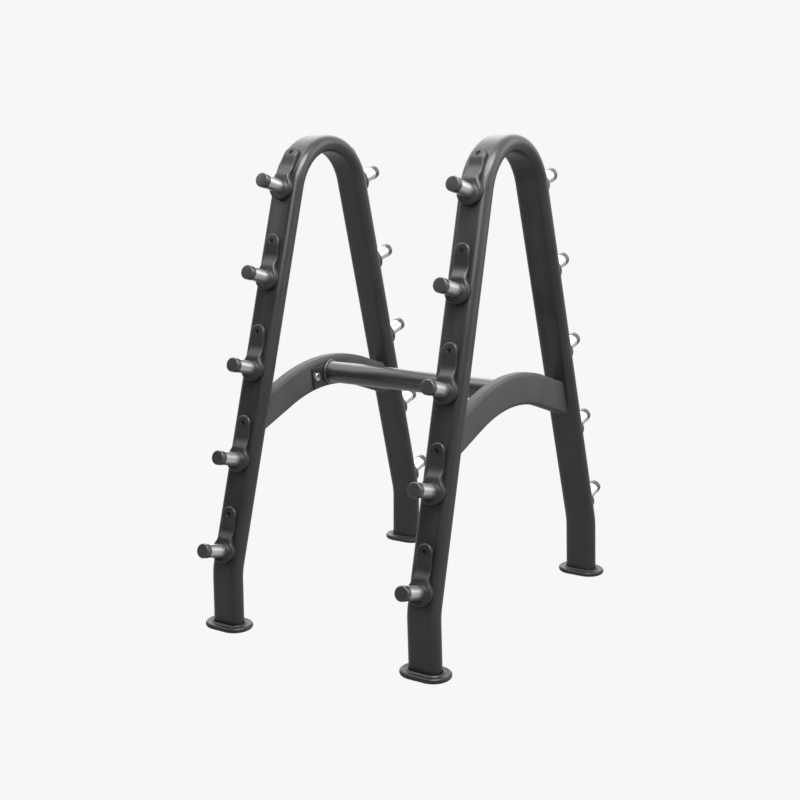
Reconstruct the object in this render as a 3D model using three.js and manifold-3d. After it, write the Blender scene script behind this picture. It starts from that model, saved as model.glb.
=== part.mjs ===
// Barbell storage rack: two bent-tube frames, each braced by an arch, are joined by one cross tube.
// Five capped pegs on every leg carry the bars, and a moulded guard behind each peg saves the paint.
// Millimetres, +Z up. The origin is on the floor, under the middle of the rack. The frames stand
// at +X and -X, and the pegs point to the front (-Y) and to the back (+Y).
import * as THREE from 'three';
import { mergeVertices } from 'three/addons/utils/BufferGeometryUtils.js';
import Module from 'manifold-3d';

const wasm = await Module();
wasm.setup();
const { degToRad } = THREE.MathUtils;

// Frame tube: a flat oval, broad across the rack
const frameTubeBreadth = 100;
const frameTubeDepth = 50;
const frameTubeWall = 3;

// Frame outline in its own plane: the legs splay from the top bend, and knees turn them upright
const frameSpacing = 646.5; // from frame to frame, level with the centres of the top bends
const frameLean = degToRad(1.03); // sets the feet a little further apart than the tops
const topBendRadius = 169; // to the middle of the tube, as every bend radius here
const legSplay = degToRad(16.2);
const legLength = 1152; // from the end of the top bend to the corner that the knee rounds off
const kneeRadius = 177;
const shankHeight = 154; // from the floor to the knee

// Arch between the legs of a frame, a flat oval on its edge: bent at its crown, straight to its ends
const archTubeHeight = 98;
const archTubeBreadth = 40;
const archTubeWall = 2.5;
const archRadius = 590;
const archEndTilt = degToRad(19.4); // of its straight ends
const archDrop = 541; // from the centre of the top bend down to the middle of the arch's crown

// Cross tube with a weld bead at each end
const crossTubeRadius = 33;
const crossTubeWall = 3;
const weldBead = 7;

// End plates of the cross tube, cut to the arch's curve, and the bolts that hold them to the arches
const plateLength = 176; // along the middle of the arch
const plateTop = 30; // above the middle of the arch
const plateBottom = 39; // below it
const plateThickness = 6;
const plateCorner = 4;
const boltSpacing = 144;
const boltRadius = 8;
const boltHeadAcrossFlats = 24;
const boltHeadHeight = 8;
const nutHeight = 13;
const boltEndOut = 3; // length of thread that shows past the nut

// Pegs: a tube with a rubber cap pressed on its end
const pegsPerLeg = 5;
const firstPegDrop = 12; // below the end of the top bend, along the leg
const pegPitch = 271;
const pegRadius = 20;
const pegWall = 2.5;
const pegReach = 104.5; // from the leg to the end of the cap
const capRadius = 21.3;
const capLength = 20;
const capEdge = 4;

// Guard behind each peg: a screwed pad at the top, a scooped neck, and a thick boss round the peg
const screwRise = 108; // above the peg
const padRadius = 24;
const padThickness = 14.5;
const bossRadius = 38;
const bossThickness = 19;
const guardEdge = 4;
const neckFlareRadius = 30; // where the neck widens into the boss
const neckThickness = 7; // at the bottom of the scoop
const scoopDrop = 16; // from the screw down to where the scoop begins
const screwPocketRadius = 7.5;
const screwPocketDepth = 6;

// Foot: a rubber cup with a ridged flange that follows the flat oval of the tube
const footFlange = 26; // past the tube, all round
const footHeight = 17;
const footFloor = 4;
const footRimRadius = 8; // rounds the flange
const footGrooveDepth = 3;
const footGrooveWidth = 12; // from ridge to ridge
const footPlay = 1.2; // round the tube

// Clearances
const seatGap = 0.3; // between pieces that touch or are welded
const bendSeatGap = 0.8; // under a guard that follows the top bend, whose faces are flats
const boltPlay = 0.3;
const cutOverrun = 5;

// Facets
const roundSteps = 14;
const tubeArcSteps = 3; // half the facets of a half-round tube edge
const topBendSteps = 14;
const kneeSteps = 3;
const archSteps = 10;
const footSteps = 16;
const hexSides = 6;

// Positions that follow from the sizes above
const outerFaceRadius = topBendRadius + frameTubeDepth / 2; // the top bend's outer face
const kneeSetback = kneeRadius * Math.tan(legSplay / 2); // from the knee's corner to its tangents
const bendEnd = {
  y: topBendRadius * Math.cos(legSplay),
  z: topBendRadius * Math.sin(legSplay),
};
const legFootY = bendEnd.y + legLength * Math.sin(legSplay);
const kneeCornerDrop = legLength * Math.cos(legSplay) - bendEnd.z;
const floorDrop = kneeCornerDrop + kneeSetback + shankHeight; // in the frame's plane
const bendCentreHeight = floorDrop * Math.cos(frameLean);
const tubeEndRise = footFloor + seatGap + frameTubeBreadth / 2 * Math.sin(frameLean);
const tubeEndDrop = floorDrop - tubeEndRise;
const archCentreDrop = archDrop + archRadius; // down to the centre of the arch's bend
const boltCentreRise = Math.sqrt(archRadius ** 2 - (boltSpacing / 2) ** 2); // above that centre
const boltDrop = archCentreDrop - boltCentreRise;
const plateOuterX = -archTubeBreadth / 2 - seatGap; // the face against the arch
const plateInnerX = plateOuterX - plateThickness;

// Finishes
const finishes = {
  coat: new THREE.MeshStandardMaterial({ color: 0x46474a, roughness: 0.45, metalness: 0.35 }),
  chrome: new THREE.MeshStandardMaterial({ color: 0xd9d9d6, roughness: 0.22, metalness: 1 }),
  moulding: new THREE.MeshStandardMaterial({ color: 0x29292b, roughness: 0.5, metalness: 0 }),
  rubber: new THREE.MeshStandardMaterial({ color: 0x1f1f20, roughness: 0.75, metalness: 0 }),
  zinc: new THREE.MeshStandardMaterial({ color: 0xc9cac6, roughness: 0.35, metalness: 0.9 }),
};

// Solid modelling helpers
function toSolid(geometry) {
  const bare = geometry.clone();
  bare.deleteAttribute('normal');
  bare.deleteAttribute('uv');
  const merged = mergeVertices(bare);
  return new wasm.Manifold(new wasm.Mesh({
    numProp: 3,
    vertProperties: Float32Array.from(merged.attributes.position.array),
    triVerts: Uint32Array.from(merged.index.array),
  }));
}

function toGeometry(solid) {
  const mesh = solid.getMesh();
  const geometry = new THREE.BufferGeometry();
  geometry.setAttribute('position', new THREE.BufferAttribute(mesh.vertProperties, 3));
  geometry.setIndex(new THREE.BufferAttribute(mesh.triVerts, 1));
  geometry.computeVertexNormals();
  return geometry;
}

function cut(geometry, ...cutters) {
  let solid = toSolid(geometry);
  for (const cutter of cutters) {
    solid = solid.subtract(toSolid(cutter));
  }
  return toGeometry(solid);
}

// A closed skin over rings that all have the same number of points, with a flat face at each end
function skinOver(rings) {
  const size = rings[0].length;
  const corners = rings.flat().flatMap((point) => point.toArray());
  const faces = [];
  for (let ring = 0; ring + 1 < rings.length; ring += 1) {
    for (let k = 0; k < size; k += 1) {
      const here = ring * size + k;
      const next = ring * size + ((k + 1) % size);
      faces.push(here, next, next + size);
      faces.push(here, next + size, here + size);
    }
  }
  const last = (rings.length - 1) * size;
  for (let k = 1; k + 1 < size; k += 1) {
    faces.push(0, k + 1, k);
    faces.push(last, last + k, last + k + 1);
  }
  const geometry = new THREE.BufferGeometry();
  geometry.setAttribute('position', new THREE.Float32BufferAttribute(corners, 3));
  geometry.setIndex(faces);
  geometry.computeVertexNormals();
  return geometry;
}

// Outline of a flat oval: two half rounds joined by straights
function flatOval(Outline, width, height) {
  const radius = Math.min(width, height) / 2;
  const x = width / 2 - radius;
  const y = height / 2 - radius;
  const start = width > height ? -Math.PI / 2 : 0;
  const outline = new Outline();
  outline.absarc(x, y, radius, start, start + Math.PI, false);
  outline.absarc(-x, -y, radius, start + Math.PI, start + 2 * Math.PI, false);
  return outline;
}

function flatOvalTube(width, height, wall) {
  const section = flatOval(THREE.Shape, width, height);
  section.holes.push(flatOval(THREE.Path, width - 2 * wall, height - 2 * wall));
  return section;
}

// A route in the frame's plane that has its steps at the bends and none along the straights
class BentRoute extends THREE.Curve {
  constructor(start, heading) {
    super();
    this.place = start.clone();
    this.heading = heading;
    this.stations = [];
    this.mark();
  }

  mark() {
    const ahead = new THREE.Vector3(0, Math.sin(this.heading), Math.cos(this.heading));
    this.stations.push({ point: this.place.clone(), tangent: ahead });
  }

  straight(length) {
    this.place.y += length * Math.sin(this.heading);
    this.place.z += length * Math.cos(this.heading);
    this.mark();
    return this;
  }

  // Turns from +Z towards +Y
  turn(angle, radius, steps) {
    const chord = 2 * radius * Math.sin(angle / steps / 2);
    for (let step = 0; step < steps; step += 1) {
      this.heading += angle / steps / 2;
      this.place.y += chord * Math.sin(this.heading);
      this.place.z += chord * Math.cos(this.heading);
      this.heading += angle / steps / 2;
      this.mark();
    }
    return this;
  }

  station(share) {
    return this.stations[Math.round(share * (this.stations.length - 1))];
  }

  getPointAt(share) {
    return this.station(share).point.clone();
  }

  getTangentAt(share) {
    return this.station(share).tangent.clone();
  }

  // Keeps the section's own X along the rack's X all the way
  computeFrenetFrames() {
    const across = new THREE.Vector3(1, 0, 0);
    const tangents = this.stations.map((station) => station.tangent);
    return {
      tangents,
      normals: tangents.map(() => across),
      binormals: tangents.map((tangent) => tangent.clone().cross(across)),
    };
  }
}

function bendTube(section, route) {
  return new THREE.ExtrudeGeometry(section, {
    steps: route.stations.length - 1,
    curveSegments: tubeArcSteps,
    bevelEnabled: false,
    extrudePath: route,
  });
}

// Lays an extrusion drawn in X and Y into the frame's plane, so that it grows along X
const intoFramePlane = new THREE.Matrix4().makeBasis(
  new THREE.Vector3(0, 1, 0),
  new THREE.Vector3(0, 0, 1),
  new THREE.Vector3(1, 0, 0),
);

function lathe(profile) {
  const points = profile.map(([radius, height]) => new THREE.Vector2(radius, height));
  return new THREE.LatheGeometry(points, roundSteps);
}

// Frame tube: foot, knee, leg, top bend, leg, knee, foot
function frameTubeGeometry() {
  const straightLeg = legLength - kneeSetback;
  const shank = tubeEndDrop - kneeCornerDrop - kneeSetback;
  const route = new BentRoute(new THREE.Vector3(0, -legFootY, -tubeEndDrop), 0)
    .straight(shank)
    .turn(legSplay, kneeRadius, kneeSteps)
    .straight(straightLeg)
    .turn(Math.PI - 2 * legSplay, topBendRadius, topBendSteps)
    .straight(straightLeg)
    .turn(legSplay, kneeRadius, kneeSteps)
    .straight(shank);
  return bendTube(flatOvalTube(frameTubeBreadth, frameTubeDepth, frameTubeWall), route);
}

// Half of the clear width between the legs at a height above the top bend's centre
function halfWidthBetweenLegs(z) {
  const legCentre = bendEnd.y + (bendEnd.z - z) * Math.tan(legSplay);
  return legCentre - (frameTubeDepth / 2 + seatGap) / Math.cos(legSplay);
}

// Arch: a bent tube whose ends are cut to the inner faces of the legs
function archGeometry() {
  const bendHalfLength = archRadius * Math.sin(archEndTilt);
  const bendRise = archRadius * (1 - Math.cos(archEndTilt));
  const endLength = (legFootY - bendHalfLength) / Math.cos(archEndTilt);
  const start = new THREE.Vector3(
    0,
    -legFootY,
    -archDrop - bendRise - endLength * Math.sin(archEndTilt),
  );
  const route = new BentRoute(start, Math.PI / 2 - archEndTilt)
    .straight(endLength)
    .turn(2 * archEndTilt, archRadius, archSteps)
    .straight(endLength);
  const tube = bendTube(flatOvalTube(archTubeBreadth, archTubeHeight, archTubeWall), route);

  const top = -archDrop + archTubeHeight;
  const bottom = -kneeCornerDrop;
  const space = new THREE.Shape([
    new THREE.Vector2(-halfWidthBetweenLegs(bottom), bottom),
    new THREE.Vector2(halfWidthBetweenLegs(bottom), bottom),
    new THREE.Vector2(halfWidthBetweenLegs(top), top),
    new THREE.Vector2(-halfWidthBetweenLegs(top), top),
  ]);
  const betweenLegs = new THREE.ExtrudeGeometry(space, {
    depth: frameTubeBreadth,
    bevelEnabled: false,
  }).applyMatrix4(intoFramePlane).translate(-frameTubeBreadth / 2, 0, 0);

  let solid = toSolid(tube).intersect(toSolid(betweenLegs));
  for (const side of [-1, 1]) {
    const hole = new THREE.CylinderGeometry(
      boltRadius + boltPlay,
      boltRadius + boltPlay,
      archTubeBreadth,
      roundSteps,
    ).rotateZ(Math.PI / 2).translate(-archTubeBreadth / 2, side * boltSpacing / 2, -boltDrop);
    solid = solid.subtract(toSolid(hole));
  }
  return toGeometry(solid);
}

// Cross tube, lying along X, with a bead of weld round each end
function crossTubeGeometry() {
  const nearestPlateZ = -archDrop + crossTubeRadius + weldBead;
  const plateX = frameSpacing / 2
    + plateInnerX * Math.cos(frameLean)
    - nearestPlateZ * Math.sin(frameLean);
  const halfLength = plateX - seatGap;
  const bore = crossTubeRadius - crossTubeWall;
  return lathe([
    [bore, -halfLength],
    [crossTubeRadius + weldBead, -halfLength],
    [crossTubeRadius, weldBead - halfLength],
    [crossTubeRadius, halfLength - weldBead],
    [crossTubeRadius + weldBead, halfLength],
    [bore, halfLength],
    [bore, -halfLength],
  ]).rotateZ(-Math.PI / 2);
}

// End plate, drawn round the centre of the arch's bend
function endPlateGeometry() {
  const outerRadius = archRadius + plateTop;
  const innerRadius = archRadius - plateBottom;
  const outerCornerRadius = outerRadius - plateCorner;
  const innerCornerRadius = innerRadius + plateCorner;
  const outerInset = Math.asin(plateCorner / outerCornerRadius);
  const innerInset = Math.asin(plateCorner / innerCornerRadius);
  const quarter = Math.PI / 2;
  const halfAngle = Math.asin(plateLength / 2 / archRadius);
  const right = quarter - halfAngle;
  const left = quarter + halfAngle;

  const outline = new THREE.Shape();
  const addCorner = (radius, angle, from, to) => {
    const x = radius * Math.cos(angle);
    const y = radius * Math.sin(angle);
    outline.absarc(x, y, plateCorner, from, to, false);
  };
  addCorner(outerCornerRadius, right + outerInset, right - quarter, right + outerInset);
  outline.absarc(0, 0, outerRadius, right + outerInset, left - outerInset, false);
  addCorner(outerCornerRadius, left - outerInset, left - outerInset, left + quarter);
  addCorner(innerCornerRadius, left - innerInset, left + quarter, left - innerInset + Math.PI);
  outline.absarc(0, 0, innerRadius, left - innerInset, right + innerInset, true);
  addCorner(innerCornerRadius, right + innerInset, right + innerInset + Math.PI, right + 3 * quarter);
  for (const side of [-1, 1]) {
    const hole = new THREE.Path();
    hole.absarc(side * boltSpacing / 2, boltCentreRise, boltRadius + boltPlay, 0, 2 * Math.PI, true);
    outline.holes.push(hole);
  }
  return new THREE.ExtrudeGeometry(outline, {
    depth: plateThickness,
    curveSegments: tubeArcSteps * 2,
    bevelEnabled: false,
  }).applyMatrix4(intoFramePlane).translate(plateInnerX, 0, 0);
}

function hexPrism(acrossFlats, height) {
  const radius = acrossFlats / 2 / Math.cos(Math.PI / hexSides);
  return new THREE.CylinderGeometry(radius, radius, height, hexSides).rotateZ(Math.PI / 2);
}

// Positions along X, from the rack's middle outwards: head, plate, arch wall, nut, end of the thread
const boltHeadX = plateInnerX - seatGap;
const nutInnerX = -archTubeBreadth / 2 + archTubeWall + seatGap;
const boltTipX = nutInnerX + nutHeight + boltEndOut;

function boltGeometry() {
  const shankLength = boltTipX - boltHeadX;
  const head = hexPrism(boltHeadAcrossFlats, boltHeadHeight)
    .translate(boltHeadX - boltHeadHeight / 2, 0, 0);
  const shank = new THREE.CylinderGeometry(boltRadius, boltRadius, shankLength, roundSteps)
    .rotateZ(Math.PI / 2)
    .translate(boltHeadX + shankLength / 2, 0, 0);
  return toGeometry(toSolid(head).add(toSolid(shank)));
}

function weldNutGeometry() {
  const bore = new THREE.CylinderGeometry(
    boltRadius + boltPlay,
    boltRadius + boltPlay,
    nutHeight + cutOverrun,
    roundSteps,
  ).rotateZ(Math.PI / 2);
  return cut(hexPrism(boltHeadAcrossFlats, nutHeight), bore)
    .translate(nutInnerX + nutHeight / 2, 0, 0);
}

// Fittings of a leg are drawn where a peg meets the leg: +Y points out of the leg, +Z up along it
const pegTubeReach = pegReach - capLength / 2; // half of the cap grips the tube

function pegGeometry() {
  const bore = pegRadius - pegWall;
  return lathe([
    [0, pegTubeReach],
    [bore, pegTubeReach],
    [bore, seatGap],
    [pegRadius, seatGap],
    [pegRadius, pegReach - capLength],
    [capRadius, pegReach - capLength],
    [capRadius, pegReach - capEdge],
    [capRadius - capEdge, pegReach],
    [0, pegReach],
  ]);
}

// Half width and thickness of a guard at a height above its peg
const flareTop = Math.sqrt(
  (bossRadius + neckFlareRadius) ** 2 - (padRadius + neckFlareRadius) ** 2,
);
const flareFoot = flareTop * bossRadius / (bossRadius + neckFlareRadius);
const scoopTop = screwRise - scoopDrop;

function guardHalfWidth(up) {
  if (up > screwRise) {
    return Math.sqrt(padRadius ** 2 - (up - screwRise) ** 2);
  }
  if (up > flareTop) {
    return padRadius;
  }
  if (up > flareFoot) {
    const flare = neckFlareRadius - Math.sqrt(neckFlareRadius ** 2 - (flareTop - up) ** 2);
    return padRadius + flare;
  }
  return Math.sqrt(bossRadius ** 2 - up ** 2);
}

// The scoop is one parabola from the pad's face, down to the neck and up to the face of the boss
const padStep = Math.sqrt(padThickness - neckThickness);
const bossStep = Math.sqrt(bossThickness - neckThickness);
const scoopMiddle = scoopTop - (scoopTop - bossRadius) * padStep / (padStep + bossStep);

function guardThickness(up) {
  if (up >= scoopTop) {
    return padThickness;
  }
  if (up <= bossRadius) {
    return bossThickness;
  }
  const share = (up - scoopMiddle) / (bossRadius - scoopMiddle);
  return neckThickness + (bossThickness - neckThickness) * share ** 2;
}

// How far the rounded side of the frame tube has fallen away at a distance from its middle
const tubeFlatHalfWidth = (frameTubeBreadth - frameTubeDepth) / 2;

function tubeFall(x) {
  const radius = frameTubeDepth / 2;
  const past = Math.max(0, x - tubeFlatHalfWidth);
  return radius - Math.sqrt(radius ** 2 - past ** 2);
}

const guardEndAngles = [degToRad(15), degToRad(50)]; // round each end, from its tip
const scoopShares = [0.3, 0.55, 0.8]; // places up the scoop

function guardStations() {
  return [
    ...guardEndAngles.map((angle) => -bossRadius * Math.cos(angle)),
    0,
    flareFoot,
    bossRadius,
    flareTop,
    ...scoopShares.map((share) => bossRadius + (scoopTop - bossRadius) * share),
    scoopTop,
    screwRise,
    ...guardEndAngles.toReversed().map((angle) => screwRise + padRadius * Math.cos(angle)),
  ];
}

// A guard whose peg sits at a distance below the top bend. What reaches past the bend's end is
// wrapped round the bend.
function guardGeometry(pegDrop) {
  function onTube(x, up, out) {
    if (up <= pegDrop) {
      return new THREE.Vector3(x, out, up);
    }
    const angle = (up - pegDrop) / outerFaceRadius;
    const radius = outerFaceRadius + out + bendSeatGap - seatGap;
    return new THREE.Vector3(
      x,
      radius * Math.cos(angle) - outerFaceRadius,
      pegDrop + radius * Math.sin(angle),
    );
  }

  const ups = guardStations();
  const rings = ups.map((up, index) => {
    const halfWidth = guardHalfWidth(up);
    const atTip = index === 0 || index === ups.length - 1;
    const top = guardThickness(up) - (atTip ? guardEdge : 0);
    const baseFlat = Math.min(halfWidth - guardEdge, tubeFlatHalfWidth);
    const section = [
      [-halfWidth, seatGap - tubeFall(halfWidth)],
      [-baseFlat, seatGap],
      [baseFlat, seatGap],
      [halfWidth, seatGap - tubeFall(halfWidth)],
      [halfWidth, top - guardEdge],
      [halfWidth - guardEdge, top],
      [guardEdge - halfWidth, top],
      [-halfWidth, top - guardEdge],
    ];
    return section.map(([x, out]) => onTube(x, up, out));
  });

  const pegHole = new THREE.CylinderGeometry(
    pegRadius + seatGap,
    pegRadius + seatGap,
    2 * (bossThickness + cutOverrun),
    roundSteps,
  );
  const screwSeat = onTube(0, screwRise, padThickness);
  const screwPocket = new THREE.CylinderGeometry(
    screwPocketRadius,
    screwPocketRadius,
    2 * screwPocketDepth,
    roundSteps / 2,
  )
    .rotateX(Math.max(0, screwRise - pegDrop) / outerFaceRadius)
    .translate(screwSeat.x, screwSeat.y, screwSeat.z);
  return cut(skinOver(rings), pegHole, screwPocket);
}

// Foot: every ring is a flat oval that lies round the tube's own
function footGeometry() {
  const angles = Array.from({ length: footSteps }, (_, k) => (k + 0.5) * 2 * Math.PI / footSteps);
  const facetReach = 1 / Math.cos(Math.PI / footSteps); // the facets' flats reach the full size
  const tubeRadius = frameTubeDepth / 2;
  function ovalRing(radius, z) {
    return angles.map((angle) => new THREE.Vector3(
      Math.sign(Math.cos(angle)) * tubeFlatHalfWidth + radius * Math.cos(angle),
      radius * Math.sin(angle),
      z,
    ));
  }
  function flangeRing(inset, z) {
    return ovalRing((tubeRadius + footFlange - inset) * facetReach, z);
  }
  const outward = footRimRadius;
  const rimRounding = outward * (1 - Math.SQRT1_2);
  return skinOver([
    flangeRing(outward, 0),
    flangeRing(rimRounding, rimRounding),
    flangeRing(0, outward),
    flangeRing(rimRounding, footHeight - rimRounding),
    flangeRing(outward, footHeight),
    flangeRing(outward + footGrooveWidth / 2, footHeight - footGrooveDepth),
    ovalRing(tubeRadius + footPlay, footHeight),
    ovalRing(tubeRadius + footPlay, footFloor),
  ]);
}

// Assembly
const rack = new THREE.Group();

function addMesh(group, name, geometry, material) {
  const mesh = new THREE.Mesh(geometry, material);
  mesh.name = name;
  group.add(mesh);
  return mesh;
}

const frameTube = frameTubeGeometry();
const arch = archGeometry();
const endPlate = endPlateGeometry();
const bolt = boltGeometry();
const weldNut = weldNutGeometry();
const peg = pegGeometry();
const topGuard = guardGeometry(firstPegDrop);
const plainGuard = guardGeometry(firstPegDrop + pegPitch);
const foot = footGeometry();

// Everything on the outer face of one leg, drawn on the leg at +Y
function addLegFittings(leg, name) {
  for (let index = 0; index < pegsPerLeg; index += 1) {
    const drop = firstPegDrop + index * pegPitch;
    const seat = new THREE.Group();
    seat.rotation.x = legSplay;
    seat.position.set(
      0,
      bendEnd.y + drop * Math.sin(legSplay) + frameTubeDepth / 2 * Math.cos(legSplay),
      bendEnd.z - drop * Math.cos(legSplay) + frameTubeDepth / 2 * Math.sin(legSplay),
    );
    leg.add(seat);
    addMesh(seat, `${name}_guard_${index + 1}`, index === 0 ? topGuard : plainGuard, finishes.moulding);
    addMesh(seat, `${name}_peg_${index + 1}`, peg, finishes.chrome);
  }
}

// The left frame is the right frame turned half round, so its leg at +Y faces the front
for (const [side, sideName, outerLeg] of [[0, 'right', 'rear'], [Math.PI, 'left', 'front']]) {
  const half = new THREE.Group();
  half.rotation.z = side;
  rack.add(half);

  const frame = new THREE.Group();
  frame.position.set(frameSpacing / 2, 0, bendCentreHeight);
  frame.rotation.y = -frameLean;
  half.add(frame);
  addMesh(frame, `${sideName}_frame_tube`, frameTube, finishes.coat);
  addMesh(frame, `${sideName}_arch`, arch, finishes.coat);
  addMesh(frame, `${sideName}_end_plate`, endPlate, finishes.coat).position.z = -archCentreDrop;

  const innerLeg = outerLeg === 'rear' ? 'front' : 'rear';
  for (const [turn, legName, toward] of [[0, outerLeg, 1], [Math.PI, innerLeg, -1]]) {
    const name = `${sideName}_${legName}`;
    const leg = new THREE.Group();
    leg.rotation.z = turn;
    frame.add(leg);
    addLegFittings(leg, name);

    for (const [fitting, geometry] of [['bolt', bolt], ['weld_nut', weldNut]]) {
      const mesh = addMesh(frame, `${name}_${fitting}`, geometry, finishes.zinc);
      mesh.position.set(0, toward * boltSpacing / 2, -boltDrop);
    }

    const footMesh = addMesh(half, `${name}_foot`, foot, finishes.rubber);
    footMesh.position.set(
      frameSpacing / 2 + floorDrop * Math.sin(frameLean),
      toward * legFootY,
      0,
    );
  }
}

const crossTube = addMesh(rack, 'cross_tube', crossTubeGeometry(), finishes.coat);
crossTube.position.z = bendCentreHeight
  - archDrop * Math.cos(frameLean)
  + plateInnerX * Math.sin(frameLean);

export default rack;
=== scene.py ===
# %% [markdown]
# # A barbell storage rack, dressed for the picture
#
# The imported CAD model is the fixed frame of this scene. Every piece here is drawn over it in
# metres, +Z up, with the origin on the floor under the middle of the rack. The two frames stand
# at +X and -X. The pegs point to the front, -Y, and to the back, +Y.

# %% Load the frame
import math

import bpy
from mathutils import Matrix, Vector


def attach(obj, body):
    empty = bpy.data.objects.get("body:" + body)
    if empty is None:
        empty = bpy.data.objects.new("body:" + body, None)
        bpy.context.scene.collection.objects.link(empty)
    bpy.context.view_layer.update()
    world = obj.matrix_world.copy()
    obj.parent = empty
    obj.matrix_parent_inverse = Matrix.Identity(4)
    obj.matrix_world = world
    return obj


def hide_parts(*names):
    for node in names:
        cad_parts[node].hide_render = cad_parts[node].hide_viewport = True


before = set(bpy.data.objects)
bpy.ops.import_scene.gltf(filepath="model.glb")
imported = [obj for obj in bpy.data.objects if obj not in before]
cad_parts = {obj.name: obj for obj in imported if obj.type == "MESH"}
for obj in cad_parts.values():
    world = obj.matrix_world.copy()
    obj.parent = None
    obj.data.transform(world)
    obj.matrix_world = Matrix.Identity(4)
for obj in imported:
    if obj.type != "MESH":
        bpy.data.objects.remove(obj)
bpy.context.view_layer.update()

# %% [markdown]
# ## Sizes
#
# These are the sizes that the solids were drawn from, in metres. A frame is drawn upright in its
# own plane, X = 0, with the centre of its top bend at the origin, and is set in place at the end.
# That way a bend is a plain turn about a known centre.

# %% Sizes of the frame
tube_breadth, tube_depth, tube_wall = 0.100, 0.050, 0.003
frame_spacing, frame_lean = 0.6465, math.radians(1.03)
top_bend_radius, knee_radius = 0.169, 0.177
leg_splay = math.radians(16.2)
leg_length, shank_height = 1.152, 0.154
foot_floor, seat_gap = 0.004, 0.0003

bend_end_y = top_bend_radius * math.cos(leg_splay)
bend_end_z = top_bend_radius * math.sin(leg_splay)
leg_foot_y = bend_end_y + leg_length * math.sin(leg_splay)
knee_setback = knee_radius * math.tan(leg_splay / 2)
knee_corner_drop = leg_length * math.cos(leg_splay) - bend_end_z
floor_drop = knee_corner_drop + knee_setback + shank_height
bend_centre_height = floor_drop * math.cos(frame_lean)
tube_end_drop = floor_drop - foot_floor - seat_gap - tube_breadth / 2 * math.sin(frame_lean)
foot_x = frame_spacing / 2 + floor_drop * math.sin(frame_lean)
print("Top bend's centre is", round(bend_centre_height, 4), "m above the floor")

# %% [markdown]
# ## Placing
#
# A frame leans outwards by a degree. The left frame is the right one turned half round, so every
# part of a frame is drawn once and copied with a matrix. The finished object stays at the origin
# and the place goes into its mesh.

# %% Places of the frames and legs
frame_places = {
    "right": Matrix.Translation((frame_spacing / 2, 0, bend_centre_height))
    @ Matrix.Rotation(-frame_lean, 4, "Y"),
}
frame_places["left"] = Matrix.Rotation(math.pi, 4, "Z") @ frame_places["right"]


def leg_at(side, toward):
    """Which leg the -Y or +Y side of a drawn frame becomes when the frame is in place."""
    return "front" if (toward < 0) == (side == "right") else "rear"


def leg_turn(side, leg):
    """A leg's fittings are drawn on the leg at -Y. This turns them to the leg asked for."""
    return Matrix.Identity(4) if leg_at(side, -1) == leg else Matrix.Rotation(math.pi, 4, "Z")


for side, place in frame_places.items():
    print("Frame", side, "hangs from", [round(v, 4) for v in place.translation])

# %% [markdown]
# ## Working in code as by hand
#
# An operator acts on whatever is selected, as it does under the mouse. So everything is let go
# before a new piece is added, and corners, edges and faces are then picked by where they are.

# %% Select
touching = 1e-5


def deselect_all():
    """Leaves edit mode and lets go of everything that is selected."""
    if bpy.context.object and bpy.context.object.mode != "OBJECT":
        bpy.ops.object.mode_set(mode="OBJECT")
    bpy.ops.object.select_all(action="DESELECT")


def pick(piece):
    """Makes one piece the only selected and active one."""
    deselect_all()
    piece.select_set(True)
    bpy.context.view_layer.objects.active = piece


def select_where(test, kind="VERT"):
    """In edit mode, selects the corners, edges or faces that a test of place (and normal) finds."""
    mesh = bpy.context.object.data
    bpy.ops.mesh.select_mode(type=kind)
    bpy.ops.mesh.select_all(action="DESELECT")
    bpy.ops.object.mode_set(mode="OBJECT")
    if kind == "VERT":
        for vertex in mesh.vertices:
            vertex.select = test(vertex.co)
    elif kind == "EDGE":
        for edge in mesh.edges:
            ends = [mesh.vertices[i].co for i in edge.vertices]
            edge.select = all(test(end) for end in ends)
    else:
        for face in mesh.polygons:
            face.select = test(face.center, face.normal)
    bpy.ops.object.mode_set(mode="EDIT")


# %% [markdown]
# A new primitive first gets its place put into its mesh, and is then edited. A flat plane merged
# at its middle is a single corner, which extrude and spin can draw an outline with.


# %% Start a piece
def start_edit(kind):
    """Puts a new primitive's place into its mesh and selects all of it in edit mode."""
    bpy.ops.object.transform_apply(location=True, rotation=True, scale=True)
    bpy.ops.object.mode_set(mode="EDIT")
    bpy.ops.mesh.select_mode(type=kind)
    bpy.ops.mesh.select_all(action="SELECT")
    return bpy.context.object


def start_corner(place):
    """A single corner, ready to be drawn into an outline."""
    deselect_all()
    bpy.ops.mesh.primitive_plane_add(size=0.01, location=place)
    piece = start_edit("VERT")
    bpy.ops.mesh.merge(type="CENTER")
    bpy.ops.mesh.select_all(action="SELECT")
    return piece


def start_ring(radius, place, rotation=(0, 0, 0)):
    """A circle of edges, ready to be pushed into a round tube."""
    deselect_all()
    bpy.ops.mesh.primitive_circle_add(
        vertices=72, radius=radius, location=place, rotation=rotation
    )
    return start_edit("EDGE")


def extrude(x, y, z):
    """Extrudes what is selected in edit mode by a step."""
    bpy.ops.mesh.extrude_region_move(TRANSFORM_OT_translate={"value": (x, y, z)})


# %% [markdown]
# A modifier is applied as soon as it is set, so that the next step finds a plain mesh. Booleans
# are exact ones, and the piece that cuts is thrown away at once.


# %% Finish a mesh
def fix_normals():
    """In edit mode, merges doubles and turns every face outwards."""
    bpy.ops.mesh.select_all(action="SELECT")
    bpy.ops.mesh.remove_doubles(threshold=1e-6)
    bpy.ops.mesh.normals_make_consistent(inside=False)


def apply_modifier(piece, kind, **settings):
    """Adds a modifier with these settings and applies it at once."""
    pick(piece)
    modifier = piece.modifiers.new(kind.title(), kind)
    for name, value in settings.items():
        setattr(modifier, name, value)
    bpy.ops.object.modifier_apply(modifier=modifier.name)


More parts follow.
